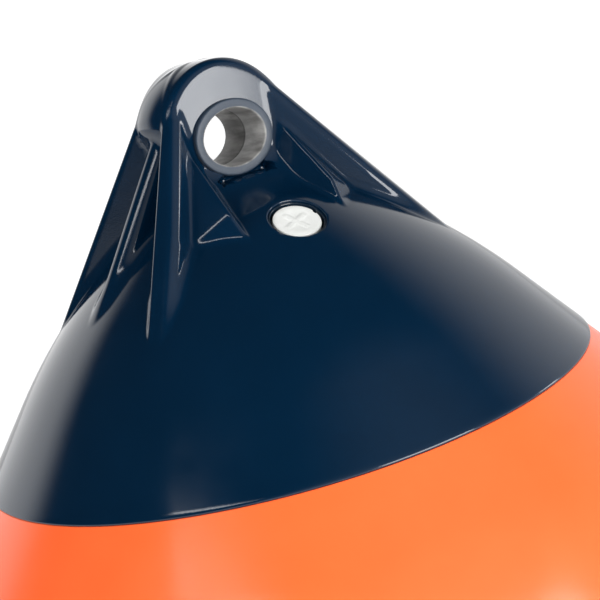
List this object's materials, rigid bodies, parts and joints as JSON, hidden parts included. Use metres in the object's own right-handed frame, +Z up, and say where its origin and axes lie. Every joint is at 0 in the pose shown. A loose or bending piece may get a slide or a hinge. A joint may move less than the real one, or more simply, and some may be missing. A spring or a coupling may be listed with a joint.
{
  "type": "inflatable buoy",
  "caption": "Inflatable mooring buoy: an air-filled ball with a ribbed moulded head, an oval rope eye through its lug and a screw-in air valve.",
  "frame": {"origin": "on the buoy's axis at its waterline", "axes": "+Z up along the buoy's axis towards the rope eye; -Y is the front, where the valve faces; the rope eye runs along Y"},
  "size_m": [0.36, 0.36, 0.458],
  "materials": {
    "orange_vinyl": "semi-gloss soft vinyl",
    "navy_vinyl": "semi-gloss moulded vinyl",
    "grey_bush": "satin moulded plastic",
    "black_socket": "satin moulded plastic",
    "black_rubber": "matte rubber",
    "white_plug": "satin moulded plastic"
  },
  "bodies": {
    "buoy": {"float_body": "orange_vinyl", "head": "navy_vinyl", "eye_bush": "grey_bush", "valve_body": "black_socket"},
    "seal": {"valve_washer": "black_rubber"},
    "plug": {"valve_plug": "white_plug"}
  },
  "joints": [
    {"name": "plug_lift", "type": "slide", "parent": "buoy", "child": "seal", "axis": [0, -0.5476, 0.8368], "range_m": [0, 0.007]},
    {"name": "plug_turn", "type": "hinge", "parent": "seal", "child": "plug", "pos_m": [0, -0.04441, 0.32885], "axis": [0, -0.5476, 0.8368], "range_deg": [0, 1440]}
  ],
  "couplings": [
    {"joint": "plug_lift", "follows": "plug_turn", "m_per_rad": 0.00027852}
  ]
}
